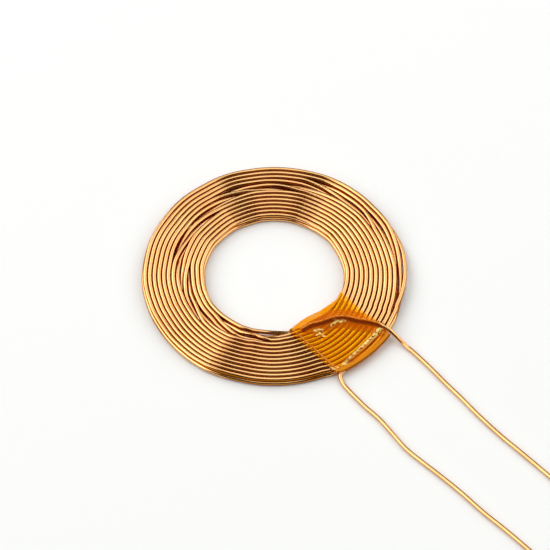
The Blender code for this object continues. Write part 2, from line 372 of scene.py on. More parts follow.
copper, tree, shader = new_material("enamelled_copper")
patches = stretch(tree, grain(tree, PATCH_SCALE, 5.0), 0.3, 0.7)
tone = blend_colours(tree, patches, COPPER_DEEP, COPPER_BRIGHT)
# Painted shade: between turns the copper is turned brown and its coat is taken away
in_groove_shade = mark_on(tree, "groove_shade_mark")
feed(tree, shader.inputs["Base Color"], blend_colours(tree, in_groove_shade, tone, COPPER_GROOVE_SHADE))
feed(tree, shader.inputs["Coat Weight"], stretch(tree, in_groove_shade, 0.0, COAT_ENDS_AT, 1.0, 0.0))
shader.inputs["Metallic"].default_value = 1.0
shader.inputs["Roughness"].default_value = 0.12
shader.inputs["Specular Tint"].default_value = COPPER_EDGE
shader.inputs["Coat IOR"].default_value = 1.85
shader.inputs["Coat Roughness"].default_value = 0.04
print("copper nodes", len(tree.nodes))

# %% [markdown]
# ## A wire made by Geometry Nodes
#
# Every stretch of wire is the same thing: a round section carried along a line. That is what Curve
# to Mesh does, so one tree makes all of the wire, with its sizes as named inputs. First the tree
# lets the line wander a little, because no wound turn is perfectly even.

# %% The wire tree's inputs
WIRE_SIDES = 16
WANDER_SIZE = 0.004


def wire_sockets(tree):
    """The tree's named inputs and its one output."""
    face = tree.interface
    face.new_socket("Geometry", in_out="INPUT", socket_type="NodeSocketGeometry")
    for name, start in (("Wire diameter", WIRE_D), ("Wander", 0.0), ("Wander size", WANDER_SIZE)):
        socket = face.new_socket(name, in_out="INPUT", socket_type="NodeSocketFloat")
        socket.default_value = start
    sides = face.new_socket("Sides", in_out="INPUT", socket_type="NodeSocketInt")
    sides.default_value = WIRE_SIDES
    face.new_socket("Surface", in_out="INPUT", socket_type="NodeSocketMaterial")
    face.new_socket("Geometry", in_out="OUTPUT", socket_type="NodeSocketGeometry")
    return tree.nodes.new("NodeGroupInput").outputs, tree.nodes.new("NodeGroupOutput").inputs


print("a wire has", WIRE_SIDES, "sides")

# %% A wandering line and its round section
def wandering(tree, given):
    """The given line, moved a little from place to place."""
    position = tree.nodes.new("GeometryNodeInputPosition")
    wobble = tree.nodes.new("ShaderNodeTexNoise")
    wobble.inputs["Detail"].default_value = 1.0
    feed(tree, wobble.inputs["Vector"], position.outputs["Position"])
    feed(tree, wobble.inputs["Scale"], reckon(tree, "DIVIDE", 1.0, given["Wander size"]))
    sized = tree.nodes.new("ShaderNodeVectorMath")
    sized.operation = "SCALE"
    feed(tree, sized.inputs[0], vector_sum(tree, "SUBTRACT", wobble.outputs["Color"], (0.5, 0.5, 0.5)))
    feed(tree, sized.inputs["Scale"], given["Wander"])
    move = tree.nodes.new("GeometryNodeSetPosition")
    feed(tree, move.inputs["Geometry"], given["Geometry"])
    feed(tree, move.inputs["Offset"], sized.outputs["Vector"])
    return move.outputs["Geometry"]


def swept(tree, given, line):
    """A round section, carried along a line and closed at both ends."""
    section = tree.nodes.new("GeometryNodeCurvePrimitiveCircle")
    feed(tree, section.inputs["Resolution"], given["Sides"])
    feed(tree, section.inputs["Radius"], reckon(tree, "MULTIPLY", given["Wire diameter"], 0.5))
    sweep = tree.nodes.new("GeometryNodeCurveToMesh")
    sweep.inputs["Fill Caps"].default_value = True
    feed(tree, sweep.inputs["Curve"], line)
    feed(tree, sweep.inputs["Profile Curve"], section.outputs["Curve"])
    return sweep.outputs["Mesh"]


# %% [markdown]
# ## The painted shade in the grooves
#
# The copper's material paints shade into the grooves between turns, so it needs to know where they
# are. A face that looks up lies on top of a turn, and one that looks aside lies in a groove, so the
# height of the normal tells them apart. At the coil's two rims, and on the free ends, there is no
# neighbour and so no groove: a curve over the distance from the coil's axis takes the mark away there.

# %% How deep in a groove
GROOVE_FROM = 0.78
GROOVE_FULL = 0.40
GROOVE_REACH = 0.45e-3
RIM_GROOVE = 0.05
RIM_SHARE = 0.05


def rim_curve(tree, value):
    """1 over the turns, and almost 0 at the rims."""
    node = tree.nodes.new("ShaderNodeFloatCurve")
    shape = node.mapping.curves[0]
    shape.points[0].location = (0.0, RIM_GROOVE)
    shape.points[1].location = (1.0, RIM_GROOVE)
    for share in (RIM_SHARE, 1.0 - RIM_SHARE):
        shape.points.new(share, 1.0)
    node.mapping.update()
    feed(tree, node.inputs["Value"], value)
    return node.outputs["Value"]


def groove_shade_share(tree):
    """How much painted shade each place gets for lying in a groove, from 0 to 1."""
    normal = tree.nodes.new("GeometryNodeInputNormal")
    parts = tree.nodes.new("ShaderNodeSeparateXYZ")
    feed(tree, parts.inputs["Vector"], normal.outputs["Normal"])
    aside = stretch(tree, parts.outputs["Z"], GROOVE_FROM, GROOVE_FULL, way="SMOOTHSTEP")
    position = tree.nodes.new("GeometryNodeInputPosition")
    distance = tree.nodes.new("ShaderNodeVectorMath")
    distance.operation = "LENGTH"
    flat = vector_sum(tree, "MULTIPLY", position.outputs["Position"], (1.0, 1.0, 0.0))
    feed(tree, distance.inputs[0], flat)
    near, far = HIGH_R - GROOVE_REACH, HIGH_OUTER_R + GROOVE_REACH
    across = stretch(tree, distance.outputs["Value"], near, far)
    return reckon(tree, "MULTIPLY", aside, rim_curve(tree, across))


# %% The whole wire tree
def wire_tree():
    """Geometry Nodes that lay a round wire along a line."""
    tree = bpy.data.node_groups.new("lay_wire", "GeometryNodeTree")
    given, made = wire_sockets(tree)
    # Stores the mark where the copper's material paints shade between turns
    groove = tree.nodes.new("GeometryNodeStoreNamedAttribute")
    groove.inputs["Name"].default_value = "groove_shade_mark"
    feed(tree, groove.inputs["Geometry"], swept(tree, given, wandering(tree, given)))
    feed(tree, groove.inputs["Value"], groove_shade_share(tree))
    smooth_faces = tree.nodes.new("GeometryNodeSetShadeSmooth")
    feed(tree, smooth_faces.inputs["Geometry"], groove.outputs["Geometry"])
    real = tree.nodes.new("GeometryNodeRealizeInstances")
    feed(tree, real.inputs["Geometry"], smooth_faces.outputs["Geometry"])
    finish = tree.nodes.new("GeometryNodeSetMaterial")
    feed(tree, finish.inputs["Geometry"], real.outputs["Geometry"])
    feed(tree, finish.inputs["Material"], given["Surface"])
    feed(tree, made["Geometry"], finish.outputs["Geometry"])
    return tree


WIRE_TREE = wire_tree()
print("wire tree has", len(WIRE_TREE.nodes), "nodes")

# %% [markdown]
# ## Laying a wire
#
# The tree works on a curve object. Its result is copied into a plain mesh, and the curve is removed,
# so that the finished wire is an ordinary object at the origin. A modifier's inputs are set by their
# identifiers, so a loop finds the identifier that belongs to each name.

# %% Lay a wire
def line_object(name, points):
    """A curve object that holds one line of points."""
    curve = bpy.data.curves.new(name, "CURVE")
    curve.dimensions = "3D"
    curve.twist_mode = "Z_UP"
    spline = curve.splines.new("POLY")
    spline.points.add(len(points) - 1)
    for knot, point in zip(spline.points, points):
        knot.co = (*point, 1.0)
    made = bpy.data.objects.new(name, curve)
    bpy.context.scene.collection.objects.link(made)
    return made


def lay_wire(name, points, wander=0.0):
    """A wire along points: the node tree's result as a plain mesh object."""
    source = line_object(name + "_line", points)
    laid = source.modifiers.new("lay_wire", "NODES")
    laid.node_group = WIRE_TREE
    values = {"Wire diameter": WIRE_D, "Wander": wander, "Sides": WIRE_SIDES, "Surface": copper}
    for item in WIRE_TREE.interface.items_tree:
        if item.in_out == "INPUT" and item.name in values:
            laid[item.identifier] = values[item.name]
    depsgraph = bpy.context.evaluated_depsgraph_get()
    mesh = bpy.data.meshes.new_from_object(source.evaluated_get(depsgraph), depsgraph=depsgraph)
    mesh.name = name
    bpy.data.objects.remove(source, do_unlink=True)
    made = bpy.data.objects.new(name, mesh)
    bpy.context.scene.collection.objects.link(made)
    return made


lead_start = lay_wire("lead_inner_end", lead_start_line)
lead_finish = lay_wire("lead_outer_end", lead_finish_line)
print("free ends", len(lead_start.data.polygons), "and", len(lead_finish.data.polygons), "faces")

# %% [markdown]
# ## The free ends in place of the CAD ends
#
# On the real coil the free ends are stiff copper that stays as it is bent, and each user bends them
# anew. Here each one takes the place of the CAD model's end, which is hidden, and is attached to
# the root body.

for lead, node, line in (
    (lead_start, "lead_start", lead_start_line),
    (lead_finish, "lead_finish", lead_finish_line),
):
    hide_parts(node)
    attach(lead, "root")
    print(lead.name, "stands for", node)

# %% [markdown]
# ## How the wire runs through the coil
#
# A two-layer coil has a puzzle in it: the wire has to get from one column of turns to the next
# without leaving a step. Here each column holds an upper and a lower turn, and once a round the two
# trade places by twisting half a turn about each other. Seen from above, one wire dives and its
# neighbour comes up beside it, and that is where the coil shows its small lens-shaped openings.
# Two turns that twist need more room than two that lie on each other, so the columns around them
# move apart, and the helpers work out by how much.

# %% One column's two turns
PARTS_PER_COLUMN = SWAP_PARTS // 2
ROUND_PARTS = PARTS_PER_COLUMN * (COLUMNS + 1)
ROUND_STEP = (360.0 - (STEP_END - STEP_START)) / ROUND_PARTS
FINE = 4


def column_pair(column, part):
    """Radius and height of a column's first and second turn, from the column's middle."""
    lean = LOWER_SPREAD * (1 - 2 * column / (COLUMNS - 1))
    share = min(1.0, max(0.0, (part - PARTS_PER_COLUMN * column) / SWAP_PARTS))
    turned = radians(180.0 * share)
    if column % 2 == 0:
        turned = -turned
    half = 0.5 * (1 + SWAP_STRETCH * abs(sin(turned)))
    out = half * (lean * cos(turned) - LAYER_STEP * sin(turned))
    up = half * (lean * sin(turned) + LAYER_STEP * cos(turned))
    return (out, up), (-out, -up)


print("a swap takes", round(SWAP_PARTS * ROUND_STEP), "degrees of the round")


# %% Room for the swaps
def least_spacing(inner, outer):
    """How far apart two neighbouring columns' middles must stand for their turns to clear."""
    reach = WIRE_D + TOUCH_GAP
    spacing = 0.0
    for near in inner:
        for far in outer:
            rise = near[1] - far[1]
            if abs(rise) < reach:
                spacing = max(spacing, near[0] - far[0] + sqrt(reach ** 2 - rise ** 2))
    return spacing


def column_middles(pairs):
    """Radius of each column's middle."""
    spacings = [least_spacing(pairs[n], pairs[n + 1]) for n in range(COLUMNS - 1)]
    spare = PITCH * (COLUMNS - 1) - sum(spacings)
    radius = (LOW_R + HIGH_R) / 2 + min(0.0, spare) / 2
    share = max(0.0, spare) / (COLUMNS - 1)
    middles = [radius]
    for spacing in spacings:
        radius += spacing + share
        middles.append(radius)
    return middles


at_rest = column_middles([column_pair(column, 0.0) for column in range(COLUMNS)])
print("columns' middles run from", round(at_rest[0] * 1000, 2), "to", round(at_rest[-1] * 1000, 2), "mm")

# %% [markdown]
# ## All turns as one line
#
# Rings side by side would look alike from far away, but the real coil is a single wire. So the line
# goes round once and changes to the lower layer on its way, goes round again and comes back up, and
# then steps outwards by one column, which happens beneath the film.

# %% All turns as one line
STEP_PARTS = 16


def turn_line():
    """Points of all the turns, from the start of the first to the end of the last."""
    sections = []
    for fine_part in range(ROUND_PARTS * FINE + 1):
        part = fine_part / FINE
        pairs = [column_pair(column, part) for column in range(COLUMNS)]
        sections.append((STEP_END + ROUND_STEP * part, pairs, column_middles(pairs)))
    points = []
    for turn in range(2 * COLUMNS):
        column, second = divmod(turn, 2)
        for angle, pairs, middles in sections:
            out, up = pairs[column][second]
            points.append(place(angle, middles[column] + out, MIDDLE_Z + up))
        if turn == 2 * COLUMNS - 1:
            break
        for part in range(1, STEP_PARTS):
            share = part / STEP_PARTS
            angle = STEP_START + (STEP_END - STEP_START) * share
            if second:
                points.append(place(angle, HIGH_R + PITCH * (column + ease(share)), HIGH_Z))
            else:
                points.append(place(angle, LOW_R + LOW_PITCH * column, LOW_Z))
    return points


turns = turn_line()
print("turns", 2 * COLUMNS, "points", len(turns), "wire", round(line_length(turns), 3), "m")

# %% [markdown]
# ## The held ends
#
# The inner end has to get out of the hole, so it climbs onto the coil and crosses it beneath the
# film. The outer end just leaves the last turn and bends away at the film's corner. Each point of
# these routes is an angle, a distance in columns and a share of the climb or fall. Only the last
# bend is given in the film's own directions, because it follows the film's corner.

# %% Held ends
INNER_END = (
    (31.7, 8.99, 1.0),
    (33.1, 7.44, 1.0),
    (35.5, 5.50, 1.0),
    (37.4, 3.75, 1.0),
    (41.0, 2.32, 1.0),
    (45.4, 1.52, 1.0),
    (51.0, 0.98, 1.0),
    (56.0, 0.60, 1.0),
    (60.0, 0.20, 0.82),
    (63.6, 0.03, 0.42),
    (68.0, 0.0, 0.0),
)
OUTER_END = (
    (20.0, 0.0, 0.0),
    (32.0, 0.20, 0.0),
    (44.0, 0.46, 0.02),
    (56.0, 0.80, 0.14),
)
OUTER_BEND = (
    (3.91e-3, 0.43e-3, 0.30),
    (4.55e-3, 0.38e-3, 0.45),
)

inner_route = []
for angle, columns_out, risen in INNER_END:
    height = HIGH_Z + (OVER_Z - HIGH_Z) * risen
    inner_route.append(place(angle, HIGH_R + PITCH * columns_out, height))
outer_route = []
for angle, columns_out, fallen in OUTER_END:
    height = HIGH_Z - (HIGH_Z - WIRE_R) * fallen
    outer_route.append(place(angle, HIGH_OUTER_R + PITCH * columns_out, height))
for across, out, fallen in OUTER_BEND:
    height = HIGH_Z - (HIGH_Z - WIRE_R) * fallen
    outer_route.append(film_place(across, HIGH_OUTER_R + out, height))
inner_line = smooth_line([lead_start_line[0]] + inner_route, LEAD_SPACING)
outer_line = smooth_line(outer_route + [lead_finish_line[0]], LEAD_SPACING)
held_lengths = [round(line_length(line) * 1000, 1) for line in (inner_line, outer_line)]
print("held ends measure", held_lengths, "mm")

# %% Lay the winding
WINDING_WANDER = 0.015e-3

winding = lay_wire("coil_winding", inner_line + turns[1:-1] + outer_line, WINDING_WANDER)
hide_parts("winding")
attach(winding, "root")
print("winding", len(winding.data.polygons), "faces")

# %% [markdown]
# ## The strip of film
#
# A strip of amber polyimide film holds the ends of the wire. It starts on top, runs over the turns
# and down a web to a straight fold in the hole, passes flat beneath the coil, comes up the outer
# side and ends on top as a second layer that lies a little further round. So the left edge of the
# strip shows twice. It could be draped by a cloth simulation. A film that was pressed on takes the
# shape of what lies under it, though, and formulas come close to that shape with less work: a rib
# over each turn, and a tent where the wire's inner end crosses.

# %% Film sizes
FILM_WIDTH = 10.0e-3
FILM_HALF = FILM_WIDTH / 2
FILM_SKEW = 0.65e-3
FILM_FOLD_GAP = 0.15e-3
FILM_FOLD_SLANT = 0.09
FILM_SAG = 0.17e-3
FILM_LIFT = FILM_T + FILM_GAP
FILM_BEND_Z = 0.75 * LOW_Z
FILM_OUTER_R = LOW_OUTER_R + WIRE_R + FILM_GAP + FILM_T / 2
FOLD_CORNER_R = WINDING_INNER_R - FILM_FOLD_GAP
FILM_INNER = sqrt(FOLD_CORNER_R ** 2 - FILM_HALF ** 2) + FILM_FOLD_SLANT * FILM_WIDTH / 4
FILM_CREST = HIGH_Z + WIRE_R + FILM_GAP + FILM_T / 2
WEB_R = HIGH_R - 0.1e-3
FILM_COLUMNS = 110
film_top_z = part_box("film_strip")[1][2] - FILM_T / 2
print("film is", round(FILM_WIDTH * 1000, 1), "mm wide and", round(FILM_T * 1000, 2), "mm thick")

# %% [markdown]
# ## Places on the strip
#
# The strip is worked out row by row with arrays of numbers, which is much quicker than point by
# point. A place on it is given by how far it lies across the strip and along it.

# %% Places on the strip
CUT_ALONG = 18.95e-3
CUT_SLANT = 0.1


def smooth(share):
    """Smooth 0 to 1, for arrays."""
    share = np.clip(share, 0.0, 1.0)
    return share * share * (3 - 2 * share)


def along_at(across, radius):
    """Distance along the strip at which a place across it has a radius."""
    return np.sqrt(radius ** 2 - across ** 2)


def cut_along(across):
    """Distance along the strip of the first layer's cut end, which the second layer covers."""
    return CUT_ALONG + CUT_SLANT * across


def fold_along(across):
    """Distance along the strip of its fold in the coil's hole."""
    return np.minimum(FILM_INNER - FILM_FOLD_SLANT * across, along_at(across, FOLD_CORNER_R))


def film_xy(across, along):
    """Plan position of places on the strip."""
    turn = radians(FILM_ANGLE)
    return along * cos(turn) - across * sin(turn), -along * sin(turn) - across * cos(turn)


print("the strip spans", round((FILM_OUTER_R - FILM_INNER) * 1000, 1), "mm of the coil")

# %% [markdown]
# ## Ribs over the turns
#
# The film was pressed onto the turns, so it follows each of them and sags into the grooves. A cosine
# over the distance from the coil's axis gives the ribs. They step outwards by one pitch below the
# film, as the turns themselves do.

# %% Ribs
RIB_SHARPNESS = 0.8
EDGE_DROP = 0.55


def rib_height(across, along):
    """Height of a sheet that lies on the stepping turns and sags between them."""
    x, y = film_xy(across, along)
    angle = np.degrees(np.arctan2(-y, x))
    stepped = smooth((angle - STEP_START) / (STEP_END - STEP_START))
    column = (np.hypot(x, y) - HIGH_R) / PITCH - stepped
    groove = (0.5 - 0.5 * np.cos(2 * pi * column)) ** RIB_SHARPNESS
    last = COLUMNS - 1
    groove = np.where(column > last, 0.0, groove)
    drop = np.clip(column - last - 0.1, 0.0, None) * PITCH
    return FILM_CREST - FILM_SAG * groove - EDGE_DROP * drop


# %% [markdown]
# ## A tent over the crossing end
#
# The wire's inner end crosses the turns beneath the film and lifts it, as a ridge pole lifts a tent.
# For each place on the film, the nearest point of that wire gives the height of the tent there, and
# the film takes the greater of tent and ribs. On the outer side of the wire the film hangs free and
# gets painted shade, so a second helper finds that side.

# %% Tent
TENT_TOP = 0.28e-3
TENT_SIDE = 1.25e-3
CROSSING_SPACING = 0.3e-3
FAR_AWAY = 1.0
crossing_line = smooth_line(lead_start_line[2::-1] + inner_route, CROSSING_SPACING)
crossing = np.array([tuple(point) for point in crossing_line])


def tent_height(across, along):
    """Height of a sheet that spans the crossing inner end, like a tent over its ridge pole."""
    x, y = film_xy(across, along)
    best = np.zeros_like(x)
    for start, end in zip(crossing, crossing[1:]):
        run = end[:2] - start[:2]
        share = ((x - start[0]) * run[0] + (y - start[1]) * run[1]) / run.dot(run)
        share = np.clip(share, 0.0, 1.0)
        aside = np.hypot(x - start[0] - share * run[0], y - start[1] - share * run[1])
        top = start[2] + (end[2] - start[2]) * share + WIRE_R + FILM_GAP + FILM_T / 2
        slope = np.clip(aside - TENT_TOP, 0.0, None) / TENT_SIDE
        best = np.maximum(best, top - LAYER_STEP * slope ** 1.15)
    return best


def outer_side(across, along):
    """Distance from the crossing inner end, on its outer side; far away on the other side."""
    x, y = film_xy(across, along)
    nearest = np.full_like(x, FAR_AWAY)
    for start, end in zip(crossing, crossing[1:]):
        run = end[:2] - start[:2]
        share = ((x - start[0]) * run[0] + (y - start[1]) * run[1]) / run.dot(run)
        off_x = x - start[0] - np.clip(share, 0.0, 1.0) * run[0]
        off_y = y - start[1] - np.clip(share, 0.0, 1.0) * run[1]
        outside = off_x * run[1] - off_y * run[0] < 0
        inside_run = (share > -0.5) & (share < 1.5)
        distance = np.where(outside & inside_run, np.hypot(off_x, off_y), FAR_AWAY)
        nearest = np.minimum(nearest, distance)
    return nearest


print("the tent's ridge has", len(crossing), "points")


# %% [markdown]
# ## Soft joins and small waves
#
# The film can't bend sharply where it leaves the turns for the tent, so that join is rounded. It has
# also been handled, and noise at a fixed place gives it the same small waves in each run.

# %% Join ribs and tent
def soft_maximum(first, second, softness=0.04e-3):
    """The greater of two heights, with the crease between them rounded."""
    near = np.clip(softness - np.abs(first - second), 0.0, None)
    return np.maximum(first, second) + near ** 2 / (4 * softness)


def crumple(points, size, strength, seed):
    """Gentle waves for a sheet that has been handled, from one noise value a point."""
    flat = points.reshape(-1, 3)
    shift = Vector((seed * 7.3, seed * 3.1, 0.0))
    waves = [noise.noise(Vector(point) / size + shift) for point in flat]
    return strength * np.array(waves).reshape(points.shape[:2])


print("two heights of 1 mm join at", round(float(soft_maximum(1e-3, 1e-3)) * 1000, 3), "mm")

# %% [markdown]
# ## Marks on the film
#
# The film looks different from place to place, so every point of it carries three marks, which its
# material reads: how creased and white it is, which also carries painted highlights, how much painted
# shade it gets, and how loose it is. Small crinkles are short strokes, each with a start and an end in
# plan; they are partly whitened film and partly painted glints. A thin painted highlight follows the
# wire that crosses below, and painted shade lies beside that wire.

# %% Crinkles, painted highlight and painted shade
CRINKLE_WIDTH = 0.16e-3
CRINKLES = (
    (8.85e-3, -8.95e-3, 10.05e-3, -9.32e-3),
    (9.90e-3, -9.14e-3, 10.65e-3, -9.14e-3),
    (8.55e-3, -9.87e-3, 9.30e-3, -9.32e-3),
    (6.00e-3, -10.78e-3, 7.20e-3, -10.60e-3),
    (6.30e-3, -11.50e-3, 7.05e-3, -10.97e-3),
    (6.90e-3, -11.15e-3, 7.50e-3, -11.70e-3),
    (8.40e-3, -17.40e-3, 9.45e-3, -17.75e-3),
    (8.85e-3, -18.10e-3, 9.45e-3, -17.30e-3),
)


def crinkles_and_highlight(across, along):
    """How much small crinkles whiten each place, with a painted highlight line along the crossing wire.
    """
    # Painted highlight: a thin light line just outside the crossing inner end
    mark = 0.45 * smooth(1.0 - np.abs(outer_side(across, along) - 0.06e-3) / 0.10e-3)
    x, y = film_xy(across, along)
    for start_x, start_y, end_x, end_y in CRINKLES:
        run_x, run_y = end_x - start_x, end_y - start_y
        share = ((x - start_x) * run_x + (y - start_y) * run_y) / (run_x ** 2 + run_y ** 2)
        share = np.clip(share, 0.0, 1.0)
        aside = np.hypot(x - start_x - share * run_x, y - start_y - share * run_y)
        mark = np.maximum(mark, np.exp(-(aside / CRINKLE_WIDTH) ** 2))
    return mark


def shaded(across, along):
    """Painted shade where the film hangs free beside the wire that it spans."""
    aside = outer_side(across, along)
    return smooth((aside - 0.10e-3) / 0.2e-3) * smooth((0.95e-3 - aside) / 0.35e-3)


print("crinkles", len(CRINKLES))

# %% [markdown]
# ## Looseness, ridge and fold
#
# Between the turns the film's glue is thickest, which makes it redder and less clear there, and in
# the tent it hangs loose. The second layer has a broad pale ridge where it passes over the first
# layer's cut end, partly whitened film and partly painted glint. Just outside of it runs a line of
# painted shade, its edge gets painted shade, and a pale line, a painted highlight, lies where it
# covers the edge of the first layer.

# %% Looseness, ridge and fold
GLUE_IN_GROOVE = 0.36
TENT_LOOSENESS = 0.3
RIDGE_WIDTH = 0.25e-3
RIDGE_TAPER = 0.028
RIDGE_RISE = 0.16e-3
FOLD_LINE = 19.45e-3
FOLD_LINE_SLANT = 0.02
FOLD_LINE_WIDTH = 0.10e-3
FOLD_LINE_END = 3.9e-3


def looseness(across, along, height):
    """How loose the film is in the grooves and in the tent."""
    glue = GLUE_IN_GROOVE * np.clip((FILM_CREST - height) / FILM_SAG, 0.0, 1.0) ** 2.5
    free = TENT_LOOSENESS * smooth(tent_height(across, along) / height * 20 - 19)
    return np.maximum(glue, free)


def ridge_at(across, along):
    """How much of the ridge over the first layer's cut end a place has."""
    width = RIDGE_WIDTH - RIDGE_TAPER * across
    return np.exp(-((along - cut_along(across)) / width) ** 2)


def second_creases_and_highlights(across, along):
    """How white the second layer is: its ridge and crinkles, and a painted highlight along the first
    layer's edge.
    """
    edge_below = 0.55 * smooth(1.15 - np.abs(across - FILM_HALF) / 0.08e-3)
    return np.maximum(np.maximum(ridge_at(across, along), edge_below), crinkles_and_highlight(across, along))


def second_shade(across, along, edge):
    """Painted shade on the second layer, at its edge and along its fold line."""
    at_edge = smooth((across - edge) / 0.16e-3 + 1.0)
    off_line = (along - FOLD_LINE - FOLD_LINE_SLANT * across) / FOLD_LINE_WIDTH
    at_fold = 0.85 * np.exp(-off_line ** 2) * smooth((FOLD_LINE_END - across) / 0.8e-3)
    return np.maximum(at_edge, at_fold)


print("the ridge is", round(RIDGE_WIDTH * 2000, 2), "mm wide and", round(RIDGE_RISE * 1000, 2), "mm high")

# %% [markdown]
# ## Rows of points for the film
#
# Each row holds, for every column of points, how far across and along the strip it lies, its height
# and its three marks. The first rows cross the turns, the next go down the web in the hole, then
# flat beneath the coil, up the outer side, and over the turns again as the second layer.

# %% Rows over the turns
def layer_slant(marks, along):
    """How far the second layer's edges draw aslant near its outer end."""
    aslant = 0.75e-3 * smooth((along - 18.2e-3) / 1.2e-3)
    return marks - aslant * (marks[-1] - marks) / FILM_WIDTH


def top_rows(marks, start, second, count):
    """Rows over the turns, from a start down to the edge of the inner turn."""
    rows = []
    for share in np.linspace(0.0, 1.0, count):
        along = start + (along_at(marks, WEB_R) - start) * share
        across = layer_slant(marks, along) if second else marks
        height = soft_maximum(rib_height(across, along), tent_height(across, along))
        loose = looseness(across, along, height)
        shade = shaded(across, along)
        if second:
            crease_and_highlight = second_creases_and_highlights(across, along)
            shade = np.maximum(shade, second_shade(across, along, marks[-1]))
            height = height + FILM_LIFT + RIDGE_RISE * ridge_at(across, along)
        else:
            # Painted highlight: a pale line along the first layer's edge
            crease_and_highlight = 0.5 * smooth((across - marks[-1]) / 0.12e-3 + 1.0)
        rows.append((across, along, height, crease_and_highlight, shade, loose))
    return rows


# %% Rows in the hole and beneath the coil
WEB_FOLD_SHADE = 0.4


def web_rows(marks, count):
    """Rows from the edge of the inner turn down to the fold in the hole."""
    rows = []
    edge = along_at(marks, WEB_R)
    none = np.zeros_like(marks)
    for share in np.linspace(0.0, 1.0, count)[1:]:
        along = edge + (fold_along(marks) - edge) * share
        height = none + FILM_BEND_Z + (FILM_CREST - FILM_BEND_Z) * sqrt(1 - share ** 2)
        if share < 1.0:
            height = np.maximum(height, tent_height(marks, along))
        # Painted shade along the fold in the hole
        painted_shade = none + WEB_FOLD_SHADE * smooth((share - 0.9) / 0.1)
        rows.append((marks, along, height, none, painted_shade, none + smooth(8 * share)))
    return rows


def under_rows(marks, count):
    """Rows flat beneath the coil."""
    rows = []
    start = fold_along(marks) + 0.12e-3
    end = along_at(marks, FILM_OUTER_R)
    none = np.zeros_like(marks)
    for share in np.linspace(0.0, 1.0, count):
        rows.append((marks, start + (end - start) * share, none + FILM_T / 2, none, none, none))
    return rows


# %% [markdown]
# ## The film's outer side
#
# On the outer side the film isn't held by anything, so it bulges, and two folds along it get
# painted shade.
# One edge draws back from the wire's outer end, and the other stands out a little. A short table
# describes it from the bottom to the top.

# %% Rows up the outer side
WALL_BULGE = 0.62e-3

# Each row's bulge, height, left and right edge, and how much painted shade its crease gets
WALL = (
    (0.06, 0.15e-3, 4.60e-3, -5.10e-3, 0.0),
    (0.30, 0.30e-3, 3.90e-3, -5.30e-3, 0.0),
    (0.42, 0.46e-3, 3.65e-3, -5.35e-3, 0.2),
    (0.34, 0.62e-3, 3.65e-3, -5.35e-3, 0.2),
    (0.55, 0.80e-3, 3.75e-3, -5.35e-3, 0.3),
    (0.84, 0.94e-3, 3.85e-3, -5.35e-3, 1.0),
    (0.93, 1.03e-3, 3.95e-3, -5.33e-3, 1.0),
    (0.96, 1.11e-3, 4.05e-3, -5.31e-3, 0.2),
    (0.92, 1.20e-3, 4.20e-3, -5.28e-3, 0.9),
    (0.80, 1.30e-3, 4.45e-3, -5.25e-3, 0.9),
    (0.70, 1.38e-3, 4.70e-3, -5.20e-3, 0.1),
    (0.48, 1.48e-3, 5.00e-3, -5.18e-3, 0.0),
    (0.30, 1.56e-3, 5.30e-3, -5.15e-3, 0.0),
)


def wall_rows():
    """Rows up the outer side of the coil."""
    rows = []
    for bulge, height, left, right, painted_shade in WALL:
        across = np.linspace(right, left, FILM_COLUMNS)
        along = along_at(across, FILM_OUTER_R + WALL_BULGE * bulge)
        none = np.zeros_like(across)
        rows.append((across, along, none + height, none, none + painted_shade, none + 1.0))
    return rows


print("the outer side bulges by", round(WALL_BULGE * 1000, 2), "mm")

# %% [markdown]
# ## The whole strip
#
# All rows together are one grid of points. Two crumples go over it at the end: a gentle one
# everywhere, and a fine one that follows the crease and highlight mark, so that white places also
# have a rough surface. No point may leave the space that the CAD model's strip takes up.

# %% The film's grid
def film_shape():
    """Points of the strip's middle surface, and how creased, dark and loose each place is."""
    first = np.linspace(-FILM_HALF, FILM_HALF, FILM_COLUMNS)
    second = first + FILM_SKEW
    rows = top_rows(first, cut_along(first), False, 96)
    rows += web_rows(first, 16)
    rows += under_rows(first, 40)
    rows += wall_rows()
    rows += top_rows(second, along_at(second, HIGH_OUTER_R + 0.3e-3), True, 130)
    points = []
    for row in rows:
        x, y = film_xy(row[0], row[1])
        points.append(np.stack([x, y, row[2]], axis=-1))
    return np.array(points), *(np.array([row[part] for row in rows]) for part in (3, 4, 5))


film_points, film_creases_and_highlights, film_shades, film_loose = film_shape()
film_points[:, :, 2] += crumple(film_points, 1.1e-3, 0.030e-3, 1)
film_points[:, :, 2] += crumple(film_points, 0.22e-3, 0.13e-3, 2) * film_creases_and_highlights
film_points[:, :, 2] = np.clip(film_points[:, :, 2], FILM_T / 2, film_top_z)
film_runs = np.linalg.norm(np.diff(film_points, axis=0), axis=2).sum(axis=0)
print("film rows and columns", film_points.shape[:2])
print("film laid flat is", round(float(film_runs[FILM_COLUMNS // 2]) * 1000, 1), "mm long")

# %% [markdown]
# ## The amber of the film
#
# Polyimide film is see-through and amber: light that passes it is tinted, and its smooth face
# mirrors the lamps a little. A tinted Transparent shader does the first and a Principled shader the
# second. The material starts with the colours of its body. They run from tight film through loose
# film to white creases and painted highlights, and painted shade turns places brown. Fine flecks
# break up the white, and the places between them get painted shade too.

# %% The film's body
AMBER_THROUGH = (1.0, 0.985, 0.58, 1.0)
AMBER_SHADE_THROUGH = (0.94, 0.70, 0.15, 1.0)
AMBER_BODY = (1.0, 0.36, 0.0, 1.0)
AMBER_TIGHT = (1.0, 0.15, 0.005, 1.0)
AMBER_CREASE_HIGHLIGHT = (1.0, 0.86, 0.26, 1.0)
AMBER_SHADE = (0.34, 0.07, 0.0, 1.0)
FLECK_SCALE = 2900.0

amber, tree, shader = new_material("amber_polyimide")
